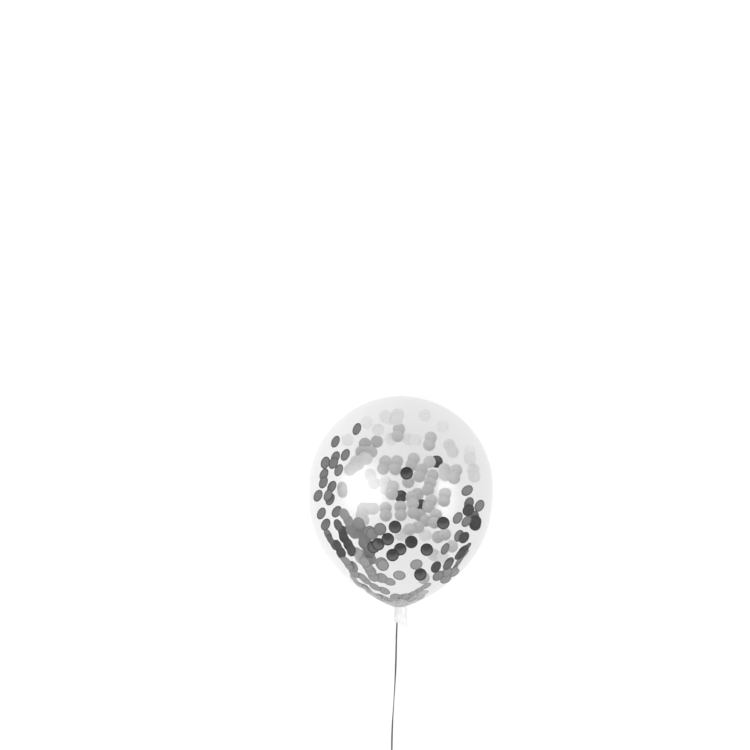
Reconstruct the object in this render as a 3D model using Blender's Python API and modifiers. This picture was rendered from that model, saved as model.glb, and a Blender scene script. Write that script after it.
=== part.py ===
"""A confetti balloon lying on its side, with its knotted neck and the ribbon tied round it.

Metres, +Z up. The balloon's axis lies along Y, with the dome towards +Y and the neck towards -Y.
The origin is on the floor, under the middle of the balloon's length.
"""
import math

import bpy
from mathutils import Vector

# Envelope: a half round dome above the widest ring and a taper below it
DOME_RADIUS = 0.145
TAPER_LENGTH = 0.190
TAPER_FULLNESS = 2.47
TAPER_BLUNTNESS = 0.80
REST_FLAT_DEPTH = 0.0025

# Pinched neck, its knot, and the flattened tail with a rolled lip
NECK_RADIUS = 0.0035
NECK_LENGTH = 0.0050
KNOT_RING_RADIUS = 0.0034
KNOT_THICKNESS = 0.0056
KNOT_TILT = math.radians(16)
TAIL_ROOT_RADIUS = 0.0023
TAIL_ROOT_LENGTH = 0.0036
TAIL_WIDTH = 0.0180
TAIL_THICKNESS = 0.0052
TAIL_LENGTH = 0.0145
TAIL_SLANT = 0.32
LIP_THICKNESS = 0.0024

# Ribbon, and what it is tied with
RIBBON_WIDTH = 0.0026
TIE_WIDTH = 0.0032
TIE_THICKNESS = 0.0014
END_KNOT_THICKNESS = 0.0058
END_LOOP_WIDTH = 0.0140
END_LOOP_LENGTH = 0.0240

# Clearance between touching pieces, and how finely round shapes are divided
GAP = 0.0003
ROUND_STEPS = 64
DOME_RINGS = 15
TAPER_RINGS = 18
TAIL_RINGS = 6
LIP_RINGS = 6
SMALL_STEPS = 24
SMALL_SECTION_STEPS = 10
RIBBON_POINTS = 76
ROUTE_STEPS = 20

# The ribbon's way from the tie down to the floor and along it, through these points
RIBBON_ROUTE = [
    (-0.0010, -0.1556, 0.1366),
    (-0.0012, -0.1574, 0.1279),
    (-0.0014, -0.1610, 0.1132),
    (-0.0015, -0.1660, 0.0967),
    (-0.0016, -0.1720, 0.0795),
    (-0.0017, -0.1790, 0.0624),
    (-0.0018, -0.1870, 0.0463),
    (-0.0019, -0.1960, 0.0320),
    (-0.0020, -0.2060, 0.0199),
    (-0.0020, -0.2170, 0.0105),
    (-0.0020, -0.2290, 0.0043),
    (-0.0020, -0.2440, 0.0017),
    (-0.0023, -0.2600, 0.0016),
    (-0.0029, -0.2800, 0.0016),
    (-0.0037, -0.3000, 0.0016),
    (-0.0048, -0.3250, 0.0016),
    (-0.0058, -0.3500, 0.0016),
    (-0.0060, -0.3750, 0.0016),
    (-0.0057, -0.4030, 0.0016),
]

# Places along the balloon's own axis, counted down from the widest ring
neck_closing = (NECK_RADIUS / DOME_RADIUS) ** (1 / TAPER_BLUNTNESS)
neck_start = TAPER_LENGTH * (1 - neck_closing) ** (1 / TAPER_FULLNESS)
neck_end = neck_start + NECK_LENGTH
knot_middle = neck_end + KNOT_THICKNESS / 2
tail_start = knot_middle + KNOT_THICKNESS / 4
tail_end = tail_start + TAIL_LENGTH * (1 + TAIL_SLANT)
widest_ring_y = (tail_end - DOME_RADIUS) / 2
axis_height = DOME_RADIUS - REST_FLAT_DEPTH


def clear_scene():
    for thing in list(bpy.data.objects):
        bpy.data.objects.remove(thing, do_unlink=True)


def new_collection(name):
    collection = bpy.data.collections.new(name)
    bpy.context.scene.collection.children.link(collection)
    return collection


def new_material(name, colour, roughness, metallic, alpha=1.0):
    material = bpy.data.materials.new(name)
    material.use_nodes = True
    shader = material.node_tree.nodes["Principled BSDF"]
    shader.inputs["Base Color"].default_value = (*colour, 1)
    shader.inputs["Roughness"].default_value = roughness
    shader.inputs["Metallic"].default_value = metallic
    shader.inputs["Alpha"].default_value = alpha
    return material


def place(thing, collection, material=None, parent=None):
    for holder in list(thing.users_collection):
        holder.objects.unlink(thing)
    collection.objects.link(thing)
    if material:
        thing.data.materials.clear()
        thing.data.materials.append(material)
    if parent:
        thing.parent = parent
    return thing


def as_helper(thing):
    thing.hide_render = True
    thing.display_type = "WIRE"
    return thing


def turned(name, outline, steps):
    """A solid turned round local Z from (radius, height) points that run from top to bottom."""
    mesh = bpy.data.meshes.new(name)
    points = [(radius, 0, height) for radius, height in outline]
    edges = [(i, i + 1) for i in range(len(points) - 1)]
    mesh.from_pydata(points, edges, [])
    thing = bpy.data.objects.new(name, mesh)
    bpy.context.scene.collection.objects.link(thing)
    screw = thing.modifiers.new("turn", "SCREW")
    screw.steps = steps
    screw.render_steps = steps
    screw.use_merge_vertices = True
    screw.merge_threshold = 0.00001
    screw.use_smooth_shade = True
    return thing


def ring(name, ring_radius, thickness, steps):
    bpy.ops.mesh.primitive_torus_add(
        major_radius=ring_radius,
        minor_radius=thickness / 2,
        major_segments=steps,
        minor_segments=SMALL_SECTION_STEPS,
    )
    thing = bpy.context.object
    thing.name = name
    thing.data.shade_smooth()
    return thing


def applied(thing):
    """The object with its modifiers made part of its mesh."""
    graph = bpy.context.evaluated_depsgraph_get()
    mesh = bpy.data.meshes.new_from_object(thing.evaluated_get(graph))
    thing.modifiers.clear()
    thing.data = mesh
    return thing


def join(thing, other, operation):
    boolean = thing.modifiers.new(operation.lower(), "BOOLEAN")
    boolean.operation = operation
    boolean.object = other


def envelope_outline():
    """Dome, taper and pinched neck, down to inside the tail."""
    outline = []
    for i in range(DOME_RINGS):
        angle = math.pi / 2 * i / DOME_RINGS
        outline.append((DOME_RADIUS * math.sin(angle), DOME_RADIUS * math.cos(angle)))
    for i in range(TAPER_RINGS + 1):
        depth = neck_start * math.sin(math.pi / 2 * i / TAPER_RINGS)
        share = 1 - (depth / TAPER_LENGTH) ** TAPER_FULLNESS
        outline.append((DOME_RADIUS * share ** TAPER_BLUNTNESS, -depth))
    root_end = tail_start + TAIL_ROOT_LENGTH
    outline.append((NECK_RADIUS, -neck_end))
    outline.append((TAIL_ROOT_RADIUS, -tail_start))
    outline.append((TAIL_ROOT_RADIUS, -root_end))
    outline.append((0, -root_end))
    return outline


def tail_outline():
    """The tail flares from the knot and ends in the rolled lip."""
    half_width = TAIL_WIDTH / 2
    lip = LIP_THICKNESS / 2
    outline = [(0, 0)]
    for i in range(TAIL_RINGS + 1):
        share = i / TAIL_RINGS
        flare = NECK_RADIUS + (half_width - NECK_RADIUS) * math.sin(math.pi / 2 * share)
        outline.append((flare, -share * (TAIL_LENGTH - LIP_THICKNESS)))
    for i in range(1, LIP_RINGS):
        angle = math.pi * i / LIP_RINGS
        outline.append((half_width + lip * math.sin(angle), lip * math.cos(angle) - TAIL_LENGTH + lip))
    outline.append((half_width - lip, -TAIL_LENGTH))
    outline.append((0, -TAIL_LENGTH))
    return outline


def make_tail():
    """The turned tail pressed flat, evenly thick, with its mouth cut at a slant."""
    tail = applied(turned("tail", tail_outline(), SMALL_STEPS))
    flattest = TAIL_THICKNESS / TAIL_WIDTH
    for vertex in tail.data.vertices:
        radius = max(math.hypot(vertex.co.x, vertex.co.y), TAIL_THICKNESS / 2)
        vertex.co.y *= max(flattest, TAIL_THICKNESS / 2 / radius)
        vertex.co.z *= 1 + TAIL_SLANT * vertex.co.x / (TAIL_WIDTH / 2)
    tail.location.z = -tail_start
    return tail


def make_balloon(parts, helpers, axis, latex):
    balloon = place(turned("balloon", envelope_outline(), ROUND_STEPS), parts, latex, axis)
    knot = ring("knot", KNOT_RING_RADIUS, KNOT_THICKNESS, SMALL_STEPS)
    knot.location.z = -knot_middle
    knot.rotation_euler.y = KNOT_TILT
    place(as_helper(knot), helpers, parent=axis)
    tail = place(as_helper(make_tail()), helpers, parent=axis)
    bpy.ops.mesh.primitive_cube_add(size=2 * DOME_RADIUS, location=(0, widest_ring_y, -DOME_RADIUS))
    floor_cutter = bpy.context.object
    floor_cutter.name = "floor_cutter"
    place(as_helper(floor_cutter), helpers)
    join(balloon, tail, "UNION")
    join(balloon, knot, "UNION")
    join(balloon, floor_cutter, "DIFFERENCE")


def make_tie(parts, axis, foil):
    """The turns of ribbon wound round the pinched neck."""
    tie = ring("ribbon_tie", NECK_RADIUS + GAP + TIE_THICKNESS / 2, TIE_THICKNESS, SMALL_STEPS)
    for vertex in tie.data.vertices:
        vertex.co.z *= TIE_WIDTH / TIE_THICKNESS
    tie.location.z = -(neck_start + neck_end) / 2
    place(tie, parts, foil, axis)


def smooth_way(route, count):
    """Points at even steps along a smooth curve through the route."""
    knots = [Vector(point) for point in route]
    knots = [2 * knots[0] - knots[1], *knots, 2 * knots[-1] - knots[-2]]
    fine = []
    for before, start, end, after in zip(knots, knots[1:], knots[2:], knots[3:]):
        for i in range(ROUTE_STEPS):
            t = i / ROUTE_STEPS
            fine.append(
                0.5
                * (
                    2 * start
                    + (end - before) * t
                    + (2 * before - 5 * start + 4 * end - after) * t**2
                    + (3 * start - before - 3 * end + after) * t**3
                )
            )
    fine.append(knots[-2])
    reached = [0.0]
    for first, second in zip(fine, fine[1:]):
        reached.append(reached[-1] + (second - first).length)
    way = []
    place_in_fine = 0
    for i in range(count):
        wanted = reached[-1] * i / (count - 1)
        while place_in_fine < len(fine) - 2 and reached[place_in_fine + 1] < wanted:
            place_in_fine += 1
        start, end = fine[place_in_fine], fine[place_in_fine + 1]
        step = reached[place_in_fine + 1] - reached[place_in_fine]
        way.append(start.lerp(end, (wanted - reached[place_in_fine]) / step))
    return way


def make_ribbon(parts, foil):
    curve = bpy.data.curves.new("ribbon", "CURVE")
    curve.dimensions = "3D"
    curve.bevel_depth = RIBBON_WIDTH / 2
    curve.bevel_resolution = 2
    curve.use_fill_caps = True
    spline = curve.splines.new("POLY")
    spline.points.add(RIBBON_POINTS - 1)
    for point, spot in zip(spline.points, smooth_way(RIBBON_ROUTE, RIBBON_POINTS)):
        point.co = (*spot, 1)
    ribbon = bpy.data.objects.new("ribbon", curve)
    place(ribbon, parts, foil)


def make_end_loop(parts, helpers, foil):
    """The knot that the ribbon ends in, and the small loop beyond it, flat on the floor."""
    end = Vector(RIBBON_ROUTE[-1])
    heading = (end - Vector(RIBBON_ROUTE[-2])).normalized()
    loop_radius = (END_LOOP_WIDTH - RIBBON_WIDTH) / 2
    stretch = (END_LOOP_LENGTH - RIBBON_WIDTH) / (END_LOOP_WIDTH - RIBBON_WIDTH)
    knot_centre = end + heading * (GAP + END_KNOT_THICKNESS / 2)
    loop = ring("ribbon_end_loop", loop_radius, RIBBON_WIDTH, SMALL_STEPS)
    for vertex in loop.data.vertices:
        outward = Vector((vertex.co.x, vertex.co.y, 0)).normalized() * loop_radius
        vertex.co.y += outward.y * (stretch - 1)
    loop.location = knot_centre + heading * (loop_radius * stretch + END_KNOT_THICKNESS / 4)
    loop.location.z = RIBBON_WIDTH / 2 + GAP
    loop.rotation_euler.z = math.atan2(-heading.x, heading.y)
    place(loop, parts, foil)
    bpy.ops.mesh.primitive_uv_sphere_add(
        segments=SMALL_STEPS, ring_count=SMALL_SECTION_STEPS, radius=END_KNOT_THICKNESS / 2
    )
    knot = bpy.context.object
    knot.name = "end_knot"
    knot.location = (knot_centre.x, knot_centre.y, END_KNOT_THICKNESS / 2 + GAP)
    place(as_helper(knot), helpers)
    join(loop, knot, "UNION")


def main():
    clear_scene()
    parts = new_collection("confetti balloon")
    helpers = new_collection("cutters")
    latex = new_material("clear latex", (0.90, 0.91, 0.92), 0.12, 0.0, 0.25)
    foil = new_material("silver ribbon", (0.55, 0.52, 0.48), 0.30, 0.9)
    axis = bpy.data.objects.new("balloon_axis", None)
    place(axis, parts)
    axis.location = (0, widest_ring_y, axis_height)
    axis.rotation_euler.x = -math.pi / 2
    make_balloon(parts, helpers, axis, latex)
    make_tie(parts, axis, foil)
    make_ribbon(parts, foil)
    make_end_loop(parts, helpers, foil)


main()
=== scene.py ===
# Confetti balloon lying on a pale floor, seen from straight above
import math
import random

import bpy
import numpy as np
from mathutils import Matrix, Vector


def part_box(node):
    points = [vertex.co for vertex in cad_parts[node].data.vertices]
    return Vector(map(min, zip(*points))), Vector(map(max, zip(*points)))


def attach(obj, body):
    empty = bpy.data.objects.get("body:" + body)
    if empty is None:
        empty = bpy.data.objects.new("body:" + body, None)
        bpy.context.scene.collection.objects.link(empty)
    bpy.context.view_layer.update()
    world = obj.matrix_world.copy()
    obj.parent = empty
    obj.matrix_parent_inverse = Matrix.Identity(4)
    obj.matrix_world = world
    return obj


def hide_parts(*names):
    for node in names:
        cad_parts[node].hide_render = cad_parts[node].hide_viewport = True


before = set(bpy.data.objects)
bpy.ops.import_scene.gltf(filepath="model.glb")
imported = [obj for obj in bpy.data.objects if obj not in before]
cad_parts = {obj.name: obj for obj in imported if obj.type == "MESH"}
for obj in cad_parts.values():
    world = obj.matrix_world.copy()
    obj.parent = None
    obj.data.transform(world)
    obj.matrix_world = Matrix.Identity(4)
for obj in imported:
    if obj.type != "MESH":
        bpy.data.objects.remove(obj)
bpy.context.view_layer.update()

mm = 0.001
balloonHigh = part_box("balloon")[1]
ribbonTieLow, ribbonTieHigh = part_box("ribbon_tie")

balloonValues = {
    "radius": 0.145,           # at the widest ring
    "taperLength": 0.190,
    "taperFullness": 2.47,
    "taperBluntness": 0.80,
    "neckRadius": 0.0035,
    "axisHeight": 0.1425,
    "neckSide": 0.1,           # folds and thicker latex lie further than this from the widest ring
}
widestY = balloonHigh.y - balloonValues["radius"]
axisZ = balloonValues["axisHeight"]
neckSideY = widestY - balloonValues["neckSide"]


# small helpers shared by every piece
def clearSelection():
    if bpy.context.mode != "OBJECT":
        bpy.ops.object.mode_set(mode="OBJECT")
    bpy.ops.object.select_all(action="DESELECT")


def activate(piece):
    clearSelection()
    piece.select_set(True)
    bpy.context.view_layer.objects.active = piece


def openForEdit(piece, everything=True):
    activate(piece)
    bpy.ops.object.mode_set(mode="EDIT")
    bpy.ops.mesh.select_all(action="SELECT" if everything else "DESELECT")


def closeEdit():
    bpy.ops.object.mode_set(mode="OBJECT")


def applyModifier(piece, kind, **settings):
    activate(piece)
    modifier = piece.modifiers.new(kind.lower(), kind)
    for key, value in settings.items():
        setattr(modifier, key, value)
    bpy.ops.object.modifier_apply(modifier=modifier.name)


def settle(piece):
    activate(piece)
    bpy.ops.object.transform_apply(location=True, rotation=True, scale=True)


def smoothPiece(piece, angle=40):
    activate(piece)
    bpy.ops.object.shade_smooth_by_angle(angle=math.radians(angle))


def joinPieces(pieces, name):
    clearSelection()
    for piece in pieces:
        piece.select_set(True)
    bpy.context.view_layer.objects.active = pieces[0]
    if len(pieces) > 1:
        bpy.ops.object.join()
    joined = bpy.context.view_layer.objects.active
    joined.name = name
    joined.data.name = name
    return joined


def drawProfile(name, points):
    # one vertex, extruded from point to point
    clearSelection()
    bpy.ops.mesh.primitive_plane_add(size=0.001, location=points[0])
    piece = bpy.context.object
    piece.name = name
    openForEdit(piece)
    bpy.ops.mesh.merge(type="CENTER")
    for start, end in zip(points, points[1:]):
        step = Vector(end) - Vector(start)
        bpy.ops.mesh.extrude_region_move(TRANSFORM_OT_translate={"value": tuple(step)})
    bpy.ops.mesh.select_all(action="SELECT")
    return piece


def spinProfile(name, points, steps):
    # a full turn round the balloon's axis
    piece = drawProfile(name, points)
    bpy.ops.mesh.spin(steps=steps, angle=math.tau, center=(0, 0, axisZ), axis=(0, 1, 0))
    bpy.ops.mesh.select_all(action="SELECT")
    bpy.ops.mesh.remove_doubles(threshold=0.000005)
    bpy.ops.mesh.normals_make_consistent(inside=False)
    closeEdit()
    settle(piece)
    return piece


def addRing(place, ringRadius, tubeRadius, turn, segments):
    clearSelection()
    bpy.ops.mesh.primitive_torus_add(
        major_segments=segments[0], minor_segments=segments[1], location=place,
        major_radius=ringRadius, minor_radius=tubeRadius, rotation=turn)
    settle(bpy.context.object)
    return bpy.context.object


def finishPiece(piece, material, slot, *replaced):
    if material:
        piece.data.materials.clear()
        piece.data.materials.append(material)
    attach(piece, "root")
    if replaced:
        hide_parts(*replaced)


# balloon outline: a half round dome above the widest ring, a taper below it
def filmRadius(y):
    y = np.asarray(y, float)
    radius = balloonValues["radius"]
    below = np.clip((widestY - y) / balloonValues["taperLength"], 0, 1)
    taper = (1 - below ** balloonValues["taperFullness"]) ** balloonValues["taperBluntness"]
    above = np.clip((y - widestY) / radius, 0, 1)
    return radius * taper * np.sqrt(1 - above**2)


def filmSlope(y):
    reach = 0.0002
    return (filmRadius(y + reach) - filmRadius(y - reach)) / (2 * reach)


def depthInside(points):
    # how far points are inside the film, in metres; less than nothing is outside
    away = np.hypot(points[:, 0], points[:, 2] - axisZ)
    slope = filmSlope(points[:, 1])
    inside = (filmRadius(points[:, 1]) - away) / np.sqrt(1 + slope**2)
    return np.minimum(inside, points[:, 2])


def filmNormal(x, y, z):
    away = max(math.hypot(x, z - axisZ), 1e-6)
    return Vector((x / away, -float(filmSlope(y)), (z - axisZ) / away)).normalized()


# camera straight above, turned so that the balloon leans as it does in the photo
cameraValues = {
    "height": 8.0,
    "middle": (-0.0443, 0.2139),
    "roll": 1.08,
    "widthSeen": 1.18425,      # at the height of the balloon's axis
    "sensor": 36.0,
}


def makeCamera():
    data = bpy.data.cameras.new("camera")
    camera = bpy.data.objects.new("camera", data)
    bpy.context.scene.collection.objects.link(camera)
    camera.location = (*cameraValues["middle"], cameraValues["height"])
    camera.rotation_euler = (0, 0, math.radians(cameraValues["roll"]))
    data.sensor_width = cameraValues["sensor"]
    reach = cameraValues["height"] - axisZ
    data.lens = cameraValues["sensor"] * reach / cameraValues["widthSeen"]
    data.clip_end = 200
    bpy.context.scene.camera = camera


makeCamera()
print("camera placed")


# materials
def newMaterial(name):
    material = bpy.data.materials.new(name)
    material.use_nodes = True
    tree = material.node_tree
    return material, tree, tree.nodes["Principled BSDF"]


def addNode(tree, kind, **values):
    node = tree.nodes.new(kind)
    for key, value in values.items():
        if key in node.inputs:
            node.inputs[key].default_value = value
        else:
            setattr(node, key, value)
    return node


def rampNode(tree, source, stops):
    ramp = tree.nodes.new("ShaderNodeValToRGB")
    elements = ramp.color_ramp.elements
    while len(elements) < len(stops):
        elements.new(0.5)
    for element, (place, value) in zip(elements, stops):
        element.position = place
        colour = value if isinstance(value, tuple) else (value, value, value)
        element.color = (*colour, 1)
    tree.links.new(source, ramp.inputs["Fac"])
    return ramp


def rampInto(tree, source, stops, socket):
    tree.links.new(rampNode(tree, source, stops).outputs["Color"], socket)


def addBump(tree, height, shader, strength, distance):
    bump = addNode(tree, "ShaderNodeBump", Strength=strength, Distance=distance)
    tree.links.new(height, bump.inputs["Height"])
    tree.links.new(bump.outputs["Normal"], shader.inputs["Normal"])
    return bump


def objectSpace(tree, scale=(1, 1, 1)):
    place = tree.nodes.new("ShaderNodeTexCoord")
    mapping = addNode(tree, "ShaderNodeMapping", Scale=scale)
    tree.links.new(place.outputs["Object"], mapping.inputs["Vector"])
    return mapping.outputs["Vector"]


def noiseOn(tree, vector, scale, detail=3.0, roughness=0.5):
    noise = addNode(tree, "ShaderNodeTexNoise", Scale=scale, Detail=detail, Roughness=roughness)
    tree.links.new(vector, noise.inputs["Vector"])
    return noise.outputs["Fac"]


filmValues = {
    "colour": 0.19,
    "alpha": 0.14,
    "collarAlpha": 0.20,
    "roughness": 0.27,
    "ior": 1.6,
    "steps": 128,
    "domeRings": 44,
    "taperRings": 64,
    "neckLength": 0.0065,
    "pleats": 22,
    "pleatDepth": 0.05,
    "pleatReach": 0.042,       # how far from the neck the pleats run out
}


def makeFilmMaterial(name, alpha):
    material, tree, shader = newMaterial(name)
    shader.inputs["Alpha"].default_value = alpha
    shader.inputs["IOR"].default_value = filmValues["ior"]
    haze = noiseOn(tree, objectSpace(tree), 9.0, 2.0)
    level, gloss = filmValues["colour"], filmValues["roughness"]
    rampInto(tree, haze, [(0.3, level * 0.86), (0.7, level * 1.14)], shader.inputs["Base Color"])
    rampInto(tree, haze, [(0.3, gloss * 0.9), (0.7, gloss * 1.15)], shader.inputs["Roughness"])
    return material


neckValues = {
    "colour": (0.86, 0.85, 0.85),
    "alpha": 0.68,
    "roughness": 0.34,
    "thinNeck": 0.0050,        # from the end of the taper to the knot
    "knotReach": 0.0028,
    "knotRing": 0.0034,
    "knotThickness": 0.0050,
    "knotTilt": 16,
    "knotVoxel": 0.00026,
    "strandWaves": 5200,
    "strandDepth": 0.014,
    "tailWidth": 0.0200,
    "tailThickness": 0.0060,   # at its mouth
    "hoodThickness": 0.0136,   # where it is turned back over the knot
    "tailStart": 0.0014,       # below the middle of the knot
    "tailLength": 0.0145,
    "tailSlant": 0.32,
    "tailLean": 0.0033,
    "openBelow": -0.1615,      # under the knot the tail starts here, so the ribbon hangs clear
    "wall": 0.0006,
    "lipThickness": 0.0018,
    "lipSteps": 12,
    "tailSteps": 96,
    "tailRings": 30,
    "wrinkles": 5,
    "wrinkleDepth": 0.00030,
    "filmOverlap": 0.0005,     # how far below the film the turned back edge starts
}


def makeNeckMaterial():
    material, tree, shader = newMaterial("thick latex")
    shader.inputs["Alpha"].default_value = neckValues["alpha"]
    folds = noiseOn(tree, objectSpace(tree, (900, 90, 900)), 1.0, 3.0)
    cloud = noiseOn(tree, objectSpace(tree), 160.0, 3.0)
    pale, gloss = neckValues["colour"], neckValues["roughness"]
    dull = tuple(part * 0.86 for part in pale)
    rampInto(tree, cloud, [(0.25, dull), (0.7, pale)], shader.inputs["Base Color"])
    rampInto(tree, folds, [(0.3, gloss * 0.8), (0.7, gloss * 1.3)], shader.inputs["Roughness"])
    addBump(tree, folds, shader, 0.35, 0.0002)
    return material


ribbonValues = {
    "width": 0.0026,
    "thickness": 0.00018,
    "points": 76,
    "routeSteps": 20,
    "sway": 50,                # degrees that the foil turns to each side on the floor
    "swayLength": 0.23,
    "swayStart": 1.4,
    "colour": (0.080, 0.075, 0.069),
    "paleColour": (0.145, 0.135, 0.122),
    "metallic": 0.5,
    "roughness": 0.33,
}

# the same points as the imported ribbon's, in metres
ribbonRoute = [
    (-0.0010, -0.1556, 0.1366),
    (-0.0012, -0.1574, 0.1279),
    (-0.0014, -0.1610, 0.1132),
    (-0.0015, -0.1660, 0.0967),
    (-0.0016, -0.1720, 0.0795),
    (-0.0017, -0.1790, 0.0624),
    (-0.0018, -0.1870, 0.0463),
    (-0.0019, -0.1960, 0.0320),
    (-0.0020, -0.2060, 0.0199),
    (-0.0020, -0.2170, 0.0105),
    (-0.0020, -0.2290, 0.0043),
    (-0.0020, -0.2440, 0.0017),
    (-0.0023, -0.2600, 0.0016),
    (-0.0029, -0.2800, 0.0016),
    (-0.0037, -0.3000, 0.0016),
    (-0.0048, -0.3250, 0.0016),
    (-0.0058, -0.3500, 0.0016),
    (-0.0060, -0.3750, 0.0016),
    (-0.0057, -0.4030, 0.0016),
]


def makeRibbonMaterial():
    material, tree, shader = newMaterial("metallic ribbon")
    shader.inputs["Metallic"].default_value = ribbonValues["metallic"]
    lines = noiseOn(tree, objectSpace(tree, (2600, 60, 60)), 1.0, 2.0)
    patches = noiseOn(tree, objectSpace(tree), 42.0, 2.0)
    tones = [(0.35, ribbonValues["colour"]), (0.72, ribbonValues["paleColour"])]
    gloss = ribbonValues["roughness"]
    rampInto(tree, patches, tones, shader.inputs["Base Color"])
    rampInto(tree, lines, [(0.3, gloss * 0.75), (0.7, gloss * 1.3)], shader.inputs["Roughness"])
    addBump(tree, lines, shader, 0.25, 0.00008)
    return material


confettiValues = {
    "radius": 0.0100,
    "thickness": 0.00018,
    "sides": 20,
    "dome": 0.00025,
    "clearance": 0.0004,       # from the film
    "spacing": 0.0003,         # from other discs
    "overlapReach": 1.04,      # radii from a disc's middle that count as over it
    "nearReach": 2.1,          # radii between two discs that can touch
    "slideStep": 0.0003,
    "sway": 0.04,
    "strandSway": 0.010,
    "brightColour": 0.26,
    "mattColour": 0.49,
    "brightRoughness": 0.20,
    "mattRoughness": 0.55,
    "shadeDome": 0.0013,       # how strongly a disc shades as a bowl
}
discAttributes = ("fromCentre", "tone", "edge", "bowl")


def multiplyNode(tree, first, second):
    node = addNode(tree, "ShaderNodeMath", operation="MULTIPLY")
    tree.links.new(first, node.inputs[0])
    tree.links.new(second, node.inputs[1])
    return node.outputs[0]


def makeConfettiMaterial(name, level, metallic, roughness, bowl):
    # each disc carries its own tone, the strength of the painted shade along its rim and how far it is
    # bowed
    material, tree, shader = newMaterial(name)
    shader.inputs["Metallic"].default_value = metallic
    fromCentre, tone, edge, bow = (
        addNode(tree, "ShaderNodeAttribute", attribute_name=word).outputs["Fac"] for word in discAttributes)
    grain = noiseOn(tree, objectSpace(tree), 420.0, 2.0)
    brushed = rampNode(tree, grain, [(0.3, level * 0.92), (0.7, level * 1.05)])
    # painted shade: a dark ring along the disc's rim, standing in for the shading of its curled rim
    rimShadeMask = rampNode(tree, fromCentre, [(0.72, 0.0), (0.88, 0.55)])
    kept = addNode(tree, "ShaderNodeMath", operation="SUBTRACT")
    kept.inputs[0].default_value = 1.0
    tree.links.new(multiplyNode(tree, rimShadeMask.outputs["Color"], edge), kept.inputs[1])
    paint = addNode(tree, "ShaderNodeVectorMath", operation="SCALE")
    tree.links.new(brushed.outputs["Color"], paint.inputs[0])
    tree.links.new(multiplyNode(tree, kept.outputs[0], tone), paint.inputs["Scale"])
    tree.links.new(paint.outputs["Vector"], shader.inputs["Base Color"])
    rampInto(tree, grain, [(0.3, roughness * 0.9), (0.7, roughness * 1.12)], shader.inputs["Roughness"])
    height = multiplyNode(tree, multiplyNode(tree, fromCentre, fromCentre), bow)
    bump = addBump(tree, height, shader, 1.0, abs(bowl))
    bump.invert = bowl > 0
    return material


filmMaterial = makeFilmMaterial("clear latex film", filmValues["alpha"])
collarMaterial = makeFilmMaterial("clear latex, thicker", filmValues["collarAlpha"])
neckMaterial = makeNeckMaterial()
ribbonMaterial = makeRibbonMaterial()
foilBright = makeConfettiMaterial(
    "silver foil, bright side", confettiValues["brightColour"], 1.0,
    confettiValues["brightRoughness"], confettiValues["shadeDome"])
foilMatt = makeConfettiMaterial(
    "silver foil, matt side", confettiValues["mattColour"], 0.25,
    confettiValues["mattRoughness"], -confettiValues["shadeDome"])
print("materials made")


# ribbon
def smoothWay(route, count):
    # even steps along a smooth curve through the route's points
    knots = [Vector(point) for point in route]
    knots = [2 * knots[0] - knots[1], *knots, 2 * knots[-1] - knots[-2]]
    steps = ribbonValues["routeSteps"]
    fine = []
    for before, start, end, after in zip(knots, knots[1:], knots[2:], knots[3:]):
        for i in range(steps):
            t = i / steps
            fine.append(0.5 * (2 * start + (end - before) * t
                               + (2 * before - 5 * start + 4 * end - after) * t**2
                               + (3 * start - before - 3 * end + after) * t**3))
    fine.append(knots[-2])
    reached = [0.0]
    for first, second in zip(fine, fine[1:]):
        reached.append(reached[-1] + (second - first).length)
    way, at = [], 0
    for i in range(count):
        wanted = reached[-1] * i / (count - 1)
        while at < len(fine) - 2 and reached[at + 1] < wanted:
            at += 1
        step = reached[at + 1] - reached[at]
        way.append(fine[at].lerp(fine[at + 1], (wanted - reached[at]) / step))
    return way, reached[-1]


def foilStrip(name, points, tilts, width):
    # a flat strip along a curve, turned by its tilts
    data = bpy.data.curves.new(name, "CURVE")
    data.dimensions = "3D"
    data.twist_mode = "MINIMUM"
    data.extrude = width / 2 - ribbonValues["thickness"] / 2
    data.bevel_depth = ribbonValues["thickness"] / 2
    data.bevel_resolution = 1
    data.use_fill_caps = True
    spline = data.splines.new("POLY")
    spline.points.add(len(points) - 1)
    for spot, place, tilt in zip(spline.points, points, tilts):
        spot.co = (*place, 1)
        spot.tilt = tilt
    piece = bpy.data.objects.new(name, data)
    bpy.context.scene.collection.objects.link(piece)
    return piece


def foilMesh(name, points, tilts, width):
    strip = foilStrip(name, points, tilts, width)
    strip.data.twist_mode = "Z_UP"
    activate(strip)
    bpy.ops.object.convert(target="MESH")
    return bpy.context.object


def makeRibbon():
    way, length = smoothWay(ribbonRoute, ribbonValues["points"] * 2)
    waves = math.tau * length / ribbonValues["swayLength"]
    tilts = []
    for i in range(len(way)):
        # the foil turns more and more from the neck down to the floor
        share = i / (len(way) - 1)
        grown = ribbonValues["sway"] * min(1, 1.6 * share) ** 2
        tilts.append(math.radians(90 + grown * math.sin(waves * share + ribbonValues["swayStart"])))
    ribbon = foilStrip("ribbon_run", way, tilts, ribbonValues["width"])
    ribbon.data.materials.append(ribbonMaterial)
    return ribbon, length


tieValues = {
    "turns": 3.6,
    "innerRadius": 0.0040,
    "growth": 0.00022,         # each turn lies on the one before
    "width": 0.0016,
    "sway": 0.0008,
    "steps": 40,
    "knotSize": 0.0019,
    "knotAside": -0.0010,
    "knotBelow": 0.0016,       # the turns
}


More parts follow.
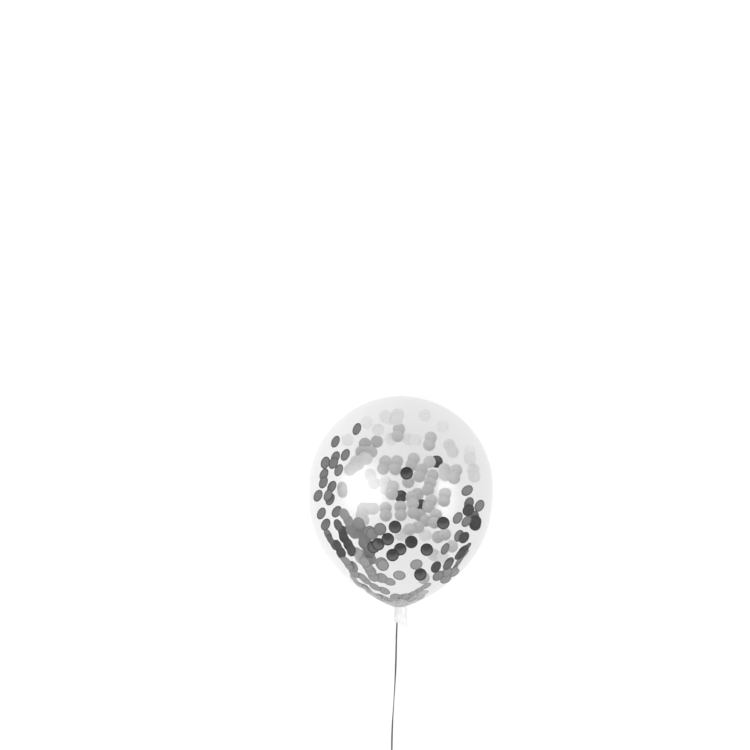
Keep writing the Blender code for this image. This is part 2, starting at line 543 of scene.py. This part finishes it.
def makeTie():
    # turns of the ribbon round the pinched neck, with a small knot below
    middleY = (ribbonTieLow.y + ribbonTieHigh.y) / 2
    inner, knotSize = tieValues["innerRadius"], tieValues["knotSize"]
    points = []
    for i in range(int(tieValues["turns"] * tieValues["steps"]) + 1):
        turn = i / tieValues["steps"]
        angle = math.tau * turn - math.pi / 2
        radius = inner + tieValues["growth"] * turn
        sway = tieValues["sway"] * math.sin(math.tau * turn * 0.43 + 0.6)
        points.append((radius * math.cos(angle), middleY + sway, axisZ + radius * math.sin(angle)))
    parts = [foilMesh("ribbon_turns", points, [0.0] * len(points), tieValues["width"])]
    underside = Vector((tieValues["knotAside"], middleY, axisZ - inner - tieValues["knotBelow"]))
    for lean, size in ((0.5, 1.0), (-0.7, 0.82)):
        parts.append(addRing(underside, knotSize * 0.62 * size, knotSize * 0.42 * size,
                             (lean, 0.9 + lean, 0.3), (20, 8)))
    tie = joinPieces(parts, "ribbon_neck_tie")
    smoothPiece(tie)
    return tie


endValues = {
    "loopLength": 0.0215,
    "loopWidth": 0.0112,
    "loopHeight": 0.0017,
    "loopWave": 0.0006,
    "loopTilt": 0.35,
    "width": 0.0024,
    "knotSize": 0.0026,
    "knotGap": 0.0030,         # from the end of the run to the knot
    "steps": 44,
}


def makeEndLoop():
    # the ribbon doubles back into a small loop held by a knot
    end = Vector(ribbonRoute[-1])
    heading = (end - Vector(ribbonRoute[-2])).normalized()
    across = Vector((heading.y, -heading.x, 0))
    knotPlace = end + heading * endValues["knotGap"]
    knotSize = endValues["knotSize"]
    points, tilts = [], []
    for i in range(endValues["steps"] + 1):
        angle = math.tau * i / endValues["steps"]
        along = endValues["loopLength"] * (1 - math.cos(angle)) / 2
        side = endValues["loopWidth"] * 0.5 * math.sin(angle) * math.sin(angle / 2) ** 0.6
        lift = endValues["loopHeight"] + endValues["loopWave"] * math.sin(angle * 1.5)
        spot = knotPlace + heading * along + across * side
        points.append((spot.x, spot.y, lift))
        tilts.append(math.radians(90) + endValues["loopTilt"] * math.sin(angle))
    parts = [foilMesh("ribbon_loop", points, tilts, endValues["width"])]
    for lean, size in ((0.2, 1.0), (1.2, 0.92), (-0.8, 0.85)):
        turn = (math.pi / 2 + lean * 0.4, lean, lean * 0.5)
        parts.append(addRing((knotPlace.x, knotPlace.y, knotSize), knotSize * 0.58 * size,
                             knotSize * 0.38 * size, turn, (24, 8)))
    piece = joinPieces(parts, "ribbon_end_knot_and_loop")
    smoothPiece(piece)
    return piece


ribbon, ribbonLength = makeRibbon()
ribbonTie = makeTie()
ribbonEnd = makeEndLoop()
finishPiece(ribbon, None, "metallic_ribbon", "ribbon")
finishPiece(ribbonTie, ribbonMaterial, "metallic_ribbon", "ribbon_tie")
finishPiece(ribbonEnd, ribbonMaterial, "metallic_ribbon", "ribbon_end_loop")
print("ribbon made, length", round(ribbonLength, 4))


# the film, one closed skin turned round the balloon's axis
def makeFilm():
    radius = balloonValues["radius"]
    closing = (balloonValues["neckRadius"] / radius) ** (1 / balloonValues["taperBluntness"])
    neckStart = balloonValues["taperLength"] * (1 - closing) ** (1 / balloonValues["taperFullness"])
    points = []
    for i in range(filmValues["domeRings"]):
        angle = math.pi / 2 * i / filmValues["domeRings"]
        points.append((0, widestY + radius * math.cos(angle), axisZ + radius * math.sin(angle)))
    for i in range(filmValues["taperRings"] + 1):
        y = widestY - neckStart * math.sin(math.pi / 2 * i / filmValues["taperRings"])
        points.append((0, y, axisZ + float(filmRadius(y))))
    neckEnd = widestY - neckStart - filmValues["neckLength"]
    points += [(0, neckEnd, axisZ + balloonValues["neckRadius"] * 0.9), (0, neckEnd, axisZ)]
    film = spinProfile("balloon_film", points, filmValues["steps"])
    # gathered folds run out from the pinched neck
    pleats = filmValues["pleats"]
    for vertex in film.data.vertices:
        away = math.hypot(vertex.co.x, vertex.co.z - axisZ)
        if away < 1e-5 or vertex.co.y > neckSideY:
            continue
        near = max(0.0, 1 - (away - balloonValues["neckRadius"]) / filmValues["pleatReach"])
        angle = math.atan2(vertex.co.x, vertex.co.z - axisZ)
        fold = math.cos(pleats * angle + 0.7 * math.sin(3 * angle))
        fold += 0.5 * math.cos(pleats * 0.5 * angle + 1.3)
        push = 1 + filmValues["pleatDepth"] * near**1.5 * fold
        vertex.co.x *= push
        vertex.co.z = axisZ + (vertex.co.z - axisZ) * push
    # small flat spot where it rests
    openForEdit(film, everything=False)
    closeEdit()
    for vertex in film.data.vertices:
        vertex.select = vertex.co.z < 0
    for part in (*film.data.edges, *film.data.polygons):
        part.select = all(film.data.vertices[i].select for i in part.vertices)
    bpy.ops.object.mode_set(mode="EDIT")
    bpy.ops.transform.resize(value=(1, 1, 0), center_override=(0, 0, 0))
    closeEdit()
    smoothPiece(film, 60)
    return film, widestY - neckStart


collarValues = {
    "radius": 0.046,           # how far from the axis the longest folds reach
    "shortest": 0.62,          # share of that reach between the folds
    "folds": 17,
    "gap": 0.0004,
    "thickness": 0.0005,
    "closest": 0.0002,         # to the axis
    "start": 0.0008,           # above the end of the taper
    "rings": 26,
    "steps": 204,
}


def makeCollar(neckY):
    # the latex is thicker towards the neck: a second skin just inside the film, running out into folds
    low = neckY + collarValues["start"]
    ys = [y for y in np.linspace(neckSideY, low, 900) if float(filmRadius(y)) < collarValues["radius"]]
    rings = collarValues["rings"]
    depths = (collarValues["gap"], collarValues["gap"] + collarValues["thickness"])
    outer, inner = [], []
    for i in range(rings + 1):
        y = ys[int(i * (len(ys) - 1) / rings)]
        slope = float(filmSlope(y))
        lean = math.sqrt(1 + slope * slope)
        for skin, depth in zip((outer, inner), depths):
            away = max(collarValues["closest"], float(filmRadius(y)) - depth / lean)
            skin.append((0, y + slope / lean * depth, axisZ + away))
    points = outer + inner[::-1] + outer[:1]
    collar = spinProfile("balloon_collar", points, collarValues["steps"])
    shortest = collarValues["shortest"]
    for vertex in collar.data.vertices:
        angle = math.atan2(vertex.co.x, vertex.co.z - axisZ)
        away = math.hypot(vertex.co.x, vertex.co.z - axisZ)
        fold = (0.5 + 0.5 * math.cos(collarValues["folds"] * angle)) ** 2
        fold *= 0.78 + 0.22 * math.sin(3 * angle + 1)
        y = low + (vertex.co.y - low) * (shortest + (1 - shortest) * fold)
        depth = float(filmRadius(vertex.co.y)) - away
        reach = max(collarValues["closest"], float(filmRadius(y)) - depth)
        vertex.co = (vertex.co.x * reach / away, y, axisZ + (vertex.co.z - axisZ) * reach / away)
    smoothPiece(collar, 60)
    return collar


film, neckY = makeFilm()
collar = makeCollar(neckY)
finishPiece(film, filmMaterial, "clear_latex", "balloon")
finishPiece(collar, collarMaterial, "clear_latex", "balloon")
print("film made")


# neck: knot, tail and rolled lip
def makeKnot(knotY):
    ring, thickness = neckValues["knotRing"], neckValues["knotThickness"]
    tilt = math.radians(neckValues["knotTilt"])
    parts = []
    for turn, size, shift in ((tilt, 1.0, 0.0), (-tilt * 1.6, 0.80, 0.0007)):
        parts.append(addRing((0, knotY + shift, axisZ), ring, thickness / 2 * size,
                             (math.pi / 2, 0, turn), (48, 16)))
    clearSelection()
    bpy.ops.mesh.primitive_uv_sphere_add(segments=32, ring_count=20, radius=1, location=(0, knotY, axisZ))
    core = bpy.context.object
    core.scale = (ring * 1.05, thickness * 0.62, ring * 0.95)
    settle(core)
    parts.append(core)
    knot = joinPieces(parts, "balloon_neck_knot")
    applyModifier(knot, "REMESH", mode="VOXEL", voxel_size=neckValues["knotVoxel"])
    applyModifier(knot, "SMOOTH", factor=0.6, iterations=9)
    # fine strands round it
    for vertex in knot.data.vertices:
        angle = math.atan2(vertex.co.x, vertex.co.z - axisZ)
        away = math.hypot(vertex.co.x, vertex.co.z - axisZ)
        strand = math.sin(neckValues["strandWaves"] * (vertex.co.y - knotY) + 2.2 * math.sin(angle))
        push = 1 + neckValues["strandDepth"] * strand * min(1, away / ring)
        vertex.co.x *= push
        vertex.co.z = axisZ + (vertex.co.z - axisZ) * push
    smoothPiece(knot, 80)
    return knot


def filmY(away):
    # where the film's taper is this far from the axis
    share = 1 - (away / balloonValues["radius"]) ** (1 / balloonValues["taperBluntness"])
    return widestY - balloonValues["taperLength"] * share ** (1 / balloonValues["taperFullness"])


def easeBetween(low, high, value):
    share = max(0.0, min(1.0, (value - low) / (high - low)))
    return share * share * (3 - 2 * share)


def makeTail(startY):
    # the tail is turned back over the knot up to the film: a flat tube with a rolled lip
    half, lip, wall = neckValues["tailWidth"] / 2, neckValues["lipThickness"] / 2, neckValues["wall"]
    length, rings, lean = neckValues["tailLength"], neckValues["tailRings"], neckValues["tailLean"]
    outline = [(half, -i / rings) for i in range(rings + 1)]
    for i in range(1, neckValues["lipSteps"]):
        angle = math.pi * i / neckValues["lipSteps"]
        across = half - wall / 2 + lip * math.cos(math.pi / 2 - angle) * 0.8
        outline.append((across, -1 - lip * (1 - math.cos(angle))))
    outline += [(half - wall, -i / rings) for i in range(rings - 1, -1, -1)]
    outline.append(outline[0])
    points = [(0, along, axisZ + away) for away, along in outline]
    tail = spinProfile("balloon_tail", points, neckValues["tailSteps"])
    for vertex in tail.data.vertices:
        angle = math.atan2(vertex.co.z - axisZ, vertex.co.x)
        outset = math.hypot(vertex.co.x, vertex.co.z - axisZ) - half
        share, beyond = min(1.0, -vertex.co.y), max(0.0, -vertex.co.y - 1)
        thick = neckValues["hoodThickness"]
        thick += (neckValues["tailThickness"] - thick) * easeBetween(0.35, 0.85, share)
        crease = neckValues["wrinkleDepth"] * math.sin(neckValues["wrinkles"] * angle + 5 * share)
        crease *= math.sin(math.pi * min(1, share * 1.1))
        x = lean + math.cos(angle) * (half + outset + crease)
        z = math.sin(angle) * (thick / 2 + outset + crease)
        top = filmY(max(math.hypot(x, z), 0.004)) - neckValues["filmOverlap"]
        top += (neckValues["openBelow"] - top) * easeBetween(0.15, 0.75, -math.sin(angle))
        end = startY - length * (1 + neckValues["tailSlant"] * (x - lean) / half)
        vertex.co = (x, top + (end - top) * share - beyond, axisZ + z)
    smoothPiece(tail, 60)
    return tail


knotY = neckY - neckValues["thinNeck"] - neckValues["knotReach"]
knot = makeKnot(knotY)
tail = makeTail(knotY - neckValues["tailStart"])
finishPiece(knot, neckMaterial, "clear_latex", "balloon")
finishPiece(tail, neckMaterial, "clear_latex", "balloon")
print("neck, knot and tail made")


# confetti
def lone(u, v, *rest):
    # a strand of one disc
    return ((u, v), (u, v), 1, *rest)


# Places are in millimetres right of and above the middle of the widest ring, as the camera sees them.
# A strand says where it starts and ends, how many discs it has and, where they differ from the group's,
# its tone and its lean. A lean is the way a disc faces: its direction round the picture and its tilt from
# the line of sight, in degrees.
# front: lies under the upper film; bright: shows its bright side; layer: groups whose discs keep their
# order; tone: how pale, in some groups with painted highlight or painted shade in it; edge: how strong the
# painted shade along the rim; bowl: how much a disc shades as a bowl; dome: how much it is one; facing: how
# far it turns with the film; fade: the tone of a strand's later discs, darker as painted shade; wobble: how
# far off its place, in millimetres; uneven: how differently a strand's discs lean
confettiGroups = {
    "confetti_back_dark": {
        "front": False, "bright": True, "layer": "back", "tone": 0.85, "edge": 1.0, "bowl": -1.0,
        "facing": 0.12,
        "discs": [(56, 41), (32, -27)],
        "strands": [lone(0, -13, 1.25)],
    },
    # painted highlight: these discs are painted near white, standing in for the hazy highlight and film
    # haze over them
    "confetti_back_faint": {
        "front": False, "layer": "back", "tone": 1.68, "edge": 0.0, "bowl": 0.2, "facing": 0.15,
        "discs": [(37, 114), (65, 97), (52, -106), (66, -109), (0, -74)],
        "strands": [((77, 68), (81, 57), 2, 1.5), ((69, 30), (70, 20), 2, 1.52),
                    ((114, 29), (116, 18), 2, 1.5), ((-25, 113), (-17, 109), 2, 1.66),
                    ((-5, 116), (-6, 109), 2, 1.62), ((-48, 21), (-43, 7), 2, 1.5), lone(-36, 92, 1.75),
                    lone(-15, 77, 1.84), lone(38, -75, 1.78), ((-25, 9), (-24, -2), 2, 1.72),
                    ((11, 77), (23, 76), 2, 1.83), ((107, 57), (109, 47), 2, 1.74), lone(-84, 76, 1.8),
                    lone(-54, 104, 1.76), ((-60, -32), (-44, -33), 3, 1.45),
                    ((-62, -42), (-60, -50), 2, 1.35)],
    },
    "confetti_left_band": {
        "front": True, "tone": 0.44, "edge": 1.0, "bowl": 0.4, "lean": (155, 50),
        "discs": [(-70, 93), (-103, 73), (-88, 52), (-106, 40), (-104, 49), (-120, 40), (-98, 28),
                  (-123, 9), (-121, 21), (-115, -11), (-109, 2), (-131, -12), (-112, -18), (-125, -40),
                  (-101, -38), (-119, -58)],
        "strands": [lone(-99, -59, 0.18, (204, 50)), lone(-115, -74, 0.34, (208, 58))],
    },
    "confetti_front": {
        "front": True, "bright": True, "tone": 0.66, "edge": 1.6, "bowl": 1.1, "facing": 0.15,
        "dome": 4.0,
        "discs": [(9, 23), (-9, -62), (67, -55), (-21, -81), (-13, -106), (-1, -96), (41, -98),
                  (31, -137)],
        "strands": [lone(16, -85, 0.3, (85, 3)), ((-36, -89), (-43, -93), 2, 0.7, (215, 12))],
    },
    "confetti_front_grey": {
        "front": True, "edge": 0.6, "bowl": 0.5, "facing": 0.15,
        "strands": [lone(24, -121, 0.56, (-70, 36)), lone(-3, -138, 0.6, (268, 42)),
                    ((-29, -122), (-31, -119), 2, 0.58, (235, 24)), lone(-33, -65, 0.4, (215, 8)),
                    ((-46, -72), (-50, -70), 2, 0.48, (215, 12)), lone(59, -139, 0.4, (-50, 46)),
                    ((71, -143), (73, -133), 2, 0.5, (-50, 46)), lone(83, -133, 0.55, (-60, 50))],
    },
    "confetti_right_band": {
        "front": True, "tone": 0.4, "edge": 1.0, "bowl": 0.4, "lean": (-30, 44),
        "discs": [(124, -28), (90, -47)],
        "strands": [lone(105, -4, 0.4, (-45, 38)), ((118, -53), (117, -58), 2, 0.04, (10, 26)),
                    lone(106, -35, 0.05, (-35, 32)), lone(104, -53, 0.36), lone(108, -24, 0.3),
                    lone(115, -45, 0.26, (-20, 38)), lone(100, -78, 0.05), lone(91, -76, 0.34),
                    lone(55, -125, 0.06, (-30, 42)), lone(70, -96, 0.36, (-28, 53)),
                    ((93, -106), (98, -98), 3, 0.05, (-42, 56)),
                    ((96, -105), (104, -94), 2, 0.12, (-42, 68)),
                    ((93, -114), (100, -104), 2, 0.34, (-42, 70)),
                    ((83, -130), (89, -121), 2, 0.5, (-42, 74)),
                    ((74, -121), (76, -118), 2, 0.2, (-45, 52))],
    },
    "confetti_back": {
        "front": False, "layer": "back", "tone": 1.26, "edge": 0.0, "bowl": 1.5, "facing": 0.12,
        # fade is painted shade: a strand's later, lower discs are darker, carrying on the shading of the
        # disc above
        "fade": 0.93,
        "discs": [(45, 41), (12, 10), (26, -9), (17, -14), (44, -25), (29, -43), (39, -52), (27, -62),
                  (14, -65), (59, -77), (70, -73), (80, -92), (36, -142)],
        "strands": [((-3, 93), (-5, 83), 2), ((47, 79), (45, 68), 2), ((-25, 42), (-28, 30), 2),
                    ((-6, 42), (-9, 30), 2), ((20, 46), (17, 36), 2), ((32, 29), (29, 18), 2),
                    ((50, 20), (43, -3), 3), ((-12, 2), (-15, -10), 2), ((70, -9), (68, -20), 2),
                    ((87, 28), (84, 16), 2), ((-24, -32), (-24, -43), 2), ((-1, -30), (0, -43), 2),
                    ((19, -25), (20, -39), 2), ((47, -20), (44, -30), 2), ((55, -43), (53, -54), 2),
                    ((-93, 1), (-92, -6), 2, 1.24, (182, 34))],
    },
    # painted highlight: the strands lower down are painted paler, where the film's highlight fades in over
    # them
    "confetti_upper_cluster": {
        "front": False, "tone": 0.95, "edge": 0.0, "bowl": 0.3, "facing": 0.2,
        "discs": [(-57, 70), (-38, 73)],
        "strands": [((-62, 57), (-47, 57), 3, 1.18), ((-58, 48), (-54, 46), 2, 1.35),
                    ((-71, 42), (-68, 37), 2, 1.35), ((-75, 34), (-81, 29), 2, 1.32)],
    },
    "confetti_drift_edge": {
        "front": True, "edge": 0.9, "bowl": 0.3, "wobble": 1.2, "uneven": 0.09,
        "strands": [((-101, -91), (-95, -101), 2, 0.06, (212, 50)),
                    ((-109, -84), (-106, -89), 2, 0.16, (210, 62)),
                    ((-98, -100), (-89, -111), 3, 0.1, (214, 64)),
                    ((-80, -97), (-92, -69), 4, 0.09, (204, 42))],
    },
    "confetti_drift": {
        "front": True, "edge": 0.08, "bowl": 0.3, "lean": (212, 31), "wobble": 1.2,
        "strands": [((-88, -41), (-84, -52), 2, 0.54, (208, 40)), ((-80, -61), (-74, -72), 3, 0.42),
                    ((-66, -56), (-57, -86), 6, 0.42), ((-58, -88), (-48, -99), 4, 0.36),
                    ((-70, -66), (-62, -72), 2, 0.42), ((-69, -101), (-62, -111), 3, 0.86, (230, 40)),
                    ((-56, -107), (-50, -112), 2, 0.86, (230, 40))],
    },
    "confetti_lower_chains": {
        "front": True, "edge": 0.4, "bowl": 0.3, "lean": (230, 42), "wobble": 1.4, "uneven": 0.08,
        "strands": [((-58, -117), (-44, -139), 4, 0.62), ((-29, -143), (-19, -148), 2, 0.58, (250, 46)),
                    ((-86, -116), (-76, -128), 3, 0.52, (225, 58)),
                    ((-72, -134), (-56, -147), 3, 0.56, (235, 60)),
                    ((-42, -157), (-27, -163), 2, 0.58, (247, 56))],
    },
    # painted light: these steep discs are painted paler than the lower chains, making up for the light
    # their tilt loses
    "confetti_rim_chains": {
        "front": True, "edge": 0.3, "bowl": 0.3, "wobble": 1.0, "uneven": 0.05,
        "strands": [((-74, -145), (-53, -159), 4, 0.74, (235, 70)),
                    ((-46, -164), (-22, -175), 4, 0.9, (246, 70)),
                    ((-7, -172), (7, -172), 2, 0.6, (270, 60)),
                    ((16, -169), (38, -155), 3, 0.62, (300, 64)),
                    ((18, -174), (35, -165), 2, 0.95, (293, 66))],
    },
    "confetti_neck_gather": {
        "front": False, "tone": 1.5, "edge": 0.0, "bowl": 0.1, "facing": 0.85, "wobble": 2.0,
        "strands": [((-28, -173), (28, -172), 4)],
    },
}


def makeMasterDisc():
    clearSelection()
    bpy.ops.mesh.primitive_circle_add(
        vertices=confettiValues["sides"], radius=confettiValues["radius"], fill_type="TRIFAN",
        location=(0, 0, 0))
    disc = bpy.context.object
    disc.name = "confetti_master"
    for vertex in disc.data.vertices:
        if vertex.co.length < mm:
            vertex.co.z = confettiValues["dome"]
    applyModifier(disc, "SOLIDIFY", thickness=confettiValues["thickness"], offset=0.0)
    openForEdit(disc)
    bpy.ops.mesh.normals_make_consistent(inside=False)
    closeEdit()
    disc.data.materials.append(foilBright)
    disc.data.materials.append(foilMatt)
    for face in disc.data.polygons:
        face.material_index = 1 if face.normal.z < -0.5 else 0
    for name in discAttributes:
        disc.data.attributes.new(name, "FLOAT", "POINT")
    away = [0.0 if math.hypot(vertex.co.x, vertex.co.y) < mm else 1.0 for vertex in disc.data.vertices]
    disc.data.attributes["fromCentre"].data.foreach_set("value", away)
    return disc


masterDisc = makeMasterDisc()
masterPoints = np.array([vertex.co for vertex in masterDisc.data.vertices])
placedDiscs = []
draws = random.Random(41)


def discPoints(centre, outward, spin, dome):
    across = Vector((0, 1, 0)).cross(outward)
    if across.length < 0.05:
        across = Vector((1, 0, 0))
    across.normalize()
    turn = Matrix.Rotation(spin, 3, outward)
    axes = np.array([turn @ across, turn @ outward.cross(across), outward])
    domed = masterPoints.copy()
    domed[:, 2] += (dome - 1) * confettiValues["dome"] * (np.hypot(domed[:, 0], domed[:, 1]) < mm)
    return domed @ axes + np.array(centre)


def heightsOver(points, centre, outward):
    # how high points stand over a disc, of those that are over it
    heights = (points - centre) @ outward
    flat = points - centre - np.outer(heights, outward)
    reach = confettiValues["radius"] * confettiValues["overlapReach"]
    return heights[np.linalg.norm(flat, axis=1) < reach]


def crossesOther(centre, outward, points, layer):
    # a later disc of the same layer lies further in than the ones that it overlaps
    spacing = confettiValues["spacing"]
    for otherCentre, otherOutward, otherPoints, otherLayer in placedDiscs:
        if np.linalg.norm(centre - otherCentre) > confettiValues["nearReach"] * confettiValues["radius"]:
            continue
        over = heightsOver(points, otherCentre, otherOutward)
        under = heightsOver(otherPoints, centre, outward)
        sameLayer = layer == otherLayer
        if len(over) and over.max() > -spacing and (sameLayer or over.min() < spacing):
            return True
        if len(under) and under.min() < spacing and (sameLayer or under.max() > -spacing):
            return True
    return False


def discFacing(group, lean, side, normal):
    if lean:
        azimuth, tilt = (math.radians(angle) for angle in lean)
        flat = math.sin(tilt)
        return Vector((flat * math.cos(azimuth), flat * math.sin(azimuth), side * math.cos(tilt)))
    return Vector((0, 0, side)).lerp(normal, group["facing"])


def placeDisc(u, v, group, lean, sway, layer):
    # slides a disc along the line of sight, inwards from the film, until it fits
    roll = math.radians(cameraValues["roll"])
    right = mm * (u * math.cos(roll) - v * math.sin(roll))
    upward = mm * (u * math.sin(roll) + v * math.cos(roll))
    aim = Vector((right, widestY + upward, axisZ))
    eye = Vector((*cameraValues["middle"], cameraValues["height"]))
    side = 1 if group["front"] else -1
    spin = draws.uniform(0, math.tau)
    # which side of the foil the camera sees
    shown = -1 if group["front"] != group.get("bright", False) else 1
    for i in range(int(2 * balloonValues["radius"] / confettiValues["slideStep"])):
        height = axisZ + side * (balloonValues["radius"] - confettiValues["slideStep"] * i)
        spot = eye + (aim - eye) * ((eye.z - height) / (eye.z - aim.z))
        if float(depthInside(np.array([spot]))[0]) < confettiValues["clearance"]:
            continue
        outward = (discFacing(group, lean, side, filmNormal(*spot)) + sway).normalized()
        points = discPoints(spot, shown * outward, spin, group.get("dome", 1))
        if depthInside(points).min() < confettiValues["clearance"]:
            continue
        centre, facing = np.array(spot), np.array(outward)
        if crossesOther(centre, facing, points, layer):
            continue
        placedDiscs.append((centre, facing, points, layer))
        return points
    print("no room for a disc at", round(u), round(v))
    return None


def drawSway(strength):
    return Vector((draws.gauss(0, strength), draws.gauss(0, strength), 0))


def addDisc(u, v, group, tone, lean, sway, layer):
    wobble = group.get("wobble", 0.3)
    u += draws.gauss(0, wobble)
    v += draws.gauss(0, wobble)
    points = placeDisc(u, v, group, lean, sway, layer)
    if points is None:
        return None
    disc = bpy.data.objects.new("disc", masterDisc.data.copy())
    bpy.context.scene.collection.objects.link(disc)
    disc.data.vertices.foreach_set("co", points.ravel())
    # tone (in some groups with painted highlight or painted shade in it), painted rim shade strength and
    # bowl
    shades = {"tone": tone * draws.uniform(0.96, 1.04), "edge": group["edge"], "bowl": group["bowl"]}
    for name, value in shades.items():
        disc.data.attributes[name].data.foreach_set("value", [value] * len(points))
    return disc


def makeConfetti(name, group):
    copies = []
    layer = group.get("layer", name)
    for u, v in group.get("discs", []):
        sway = drawSway(confettiValues["sway"])
        copies.append(addDisc(u, v, group, group["tone"], group.get("lean"), sway, layer))
    for strand in group["strands"]:
        start, end, count = strand[:3]
        tone = strand[3] if len(strand) > 3 else group["tone"]
        lean = strand[4] if len(strand) > 4 else group.get("lean")
        sway = drawSway(confettiValues["sway"])
        for i in range(count):
            share = i / max(1, count - 1)
            u = start[0] + (end[0] - start[0]) * share
            v = start[1] + (end[1] - start[1]) * share
            ownSway = sway + drawSway(group.get("uneven", confettiValues["strandSway"]))
            # painted shade: a strand's later discs are darker by the group's fade
            fade = group.get("fade", 1.0) if i else 1.0
            copies.append(addDisc(u, v, group, tone * fade, lean, ownSway, layer))
    piece = joinPieces([disc for disc in copies if disc], name)
    smoothPiece(piece, 30)
    finishPiece(piece, None, "silver_confetti")
    print(name, len(copies), "discs")


for name, group in confettiGroups.items():
    makeConfetti(name, group)
bpy.data.objects.remove(masterDisc)
print("confetti made,", len(placedDiscs), "discs")


# floor, world and lights
studioValues = {
    "floorSize": 80.0,
    # painted light: the floor glows brighter left of the balloon than right
    "floorPaintedLight": (0.885, 0.785),   # left and right of the balloon
    "paintedLightChange": (-0.10, 0.02),   # where it passes from one to the other
    "floorColour": 0.20,
    "worldAxis": (-0.05, 0.42, 0.90),
    "worldDark": 0.16,
    "worldBright": 0.95,
    "overhead": {"middle": (0.2, 0.1, 3.4), "size": (4.2, 4.2), "power": 74.0},
    "key": {"middle": (0.5, -2.1, 2.9), "size": (2.2, 2.2), "power": 48.0},
    # the boxes that the film mirrors stand round the balloon's axis, by degrees from straight above
    "boxDistance": 3.0,
    "boxShift": 0.25,
    "leftBox": {"angle": -46, "size": (2.9, 4.4), "radiance": 52.0},
    "rightBox": {"angle": 60, "size": (0.5, 0.9), "radiance": 14.0},
}
balloonMiddle = Vector((0, widestY, axisZ))


def makeFloor():
    clearSelection()
    bpy.ops.mesh.primitive_plane_add(size=studioValues["floorSize"], location=(0, 0, -0.0004))
    floor = bpy.context.object
    floor.name = "floor"
    material, tree, shader = newMaterial("pale floor")
    level = studioValues["floorColour"]
    shader.inputs["Base Color"].default_value = (level, level, level, 1)
    shader.inputs["Roughness"].default_value = 0.9
    shader.inputs["Specular IOR Level"].default_value = 0.0
    # painted light: the floor glows by its own emission, brighter on the left than on the right
    shader.inputs["Emission Strength"].default_value = 1.0
    sides = tree.nodes.new("ShaderNodeSeparateXYZ")
    tree.links.new(objectSpace(tree), sides.inputs[0])
    across = tree.nodes.new("ShaderNodeMapRange")
    for word, value in zip(("From Min", "From Max"), studioValues["paintedLightChange"]):
        across.inputs[word].default_value = value
    tree.links.new(sides.outputs["X"], across.inputs["Value"])
    left, right = studioValues["floorPaintedLight"]
    rampInto(tree, across.outputs["Result"], [(0.0, left), (1.0, right)], shader.inputs["Emission Color"])
    floor.data.materials.append(material)


def makeWorld():
    # dark round its axis with one faint ring, bright to the sides
    world = bpy.data.worlds.new("studio")
    bpy.context.scene.world = world
    world.use_nodes = True
    tree = world.node_tree
    place = tree.nodes.new("ShaderNodeTexCoord")
    dot = addNode(tree, "ShaderNodeVectorMath", operation="DOT_PRODUCT")
    dot.inputs[1].default_value = Vector(studioValues["worldAxis"]).normalized()
    tree.links.new(place.outputs["Generated"], dot.inputs[0])
    dark, bright = studioValues["worldDark"], studioValues["worldBright"]
    stops = [(0.0, bright), (0.574, bright * 0.85), (0.707, bright * 0.55), (0.819, dark * 1.6),
             (0.899, dark * 0.35), (0.940, dark * 0.45), (0.966, dark * 2.2), (0.988, dark * 0.2)]
    rampInto(tree, dot.outputs["Value"], stops, tree.nodes["Background"].inputs["Color"])


def addSoftBox(name, middle, size, power, receivers=None):
    data = bpy.data.lights.new(name, "AREA")
    data.shape = "RECTANGLE"
    data.size, data.size_y = size
    data.energy = power
    light = bpy.data.objects.new(name, data)
    bpy.context.scene.collection.objects.link(light)
    light.location = middle
    light.rotation_euler = (balloonMiddle - Vector(middle)).to_track_quat("-Z", "Y").to_euler()
    light.visible_camera = False
    if receivers:
        light.visible_diffuse = False
        group = bpy.data.collections.new(name + " receivers")
        for piece in receivers:
            group.objects.link(piece)
        light.light_linking.receiver_collection = group
    return light


def fadeBox(light):
    # brightest in its middle, nothing at its edges
    light.data.use_nodes = True
    tree = light.data.node_tree
    place = tree.nodes.new("ShaderNodeNewGeometry")
    centred = addNode(tree, "ShaderNodeVectorMath", operation="SUBTRACT")
    centred.inputs[1].default_value = (0.5, 0.5, 0.0)
    tree.links.new(place.outputs["Parametric"], centred.inputs[0])
    away = addNode(tree, "ShaderNodeVectorMath", operation="LENGTH")
    tree.links.new(centred.outputs["Vector"], away.inputs[0])
    strength = tree.nodes["Emission"].inputs["Strength"]
    rampInto(tree, away.outputs["Value"], [(0.22, 1.0), (0.5, 0.0)], strength)


def makeHighlight(name, angle, size, radiance):
    # a box that only the film mirrors
    turn, distance = math.radians(angle), studioValues["boxDistance"]
    away = Vector((distance * math.sin(turn), studioValues["boxShift"], distance * math.cos(turn)))
    power = radiance * math.pi * size[0] * size[1]
    return addSoftBox(name, balloonMiddle + away, size, power, [film, collar])


def makeLights():
    overhead = addSoftBox("overhead", **studioValues["overhead"])
    overhead.visible_glossy = False
    key = addSoftBox("key", **studioValues["key"])
    key.visible_glossy = False
    key.data.use_shadow = False
    fadeBox(makeHighlight("left box", **studioValues["leftBox"]))
    makeHighlight("right box", **studioValues["rightBox"])


makeFloor()
makeWorld()
makeLights()
bpy.context.scene.view_settings.view_transform = "Standard"
print("studio made")
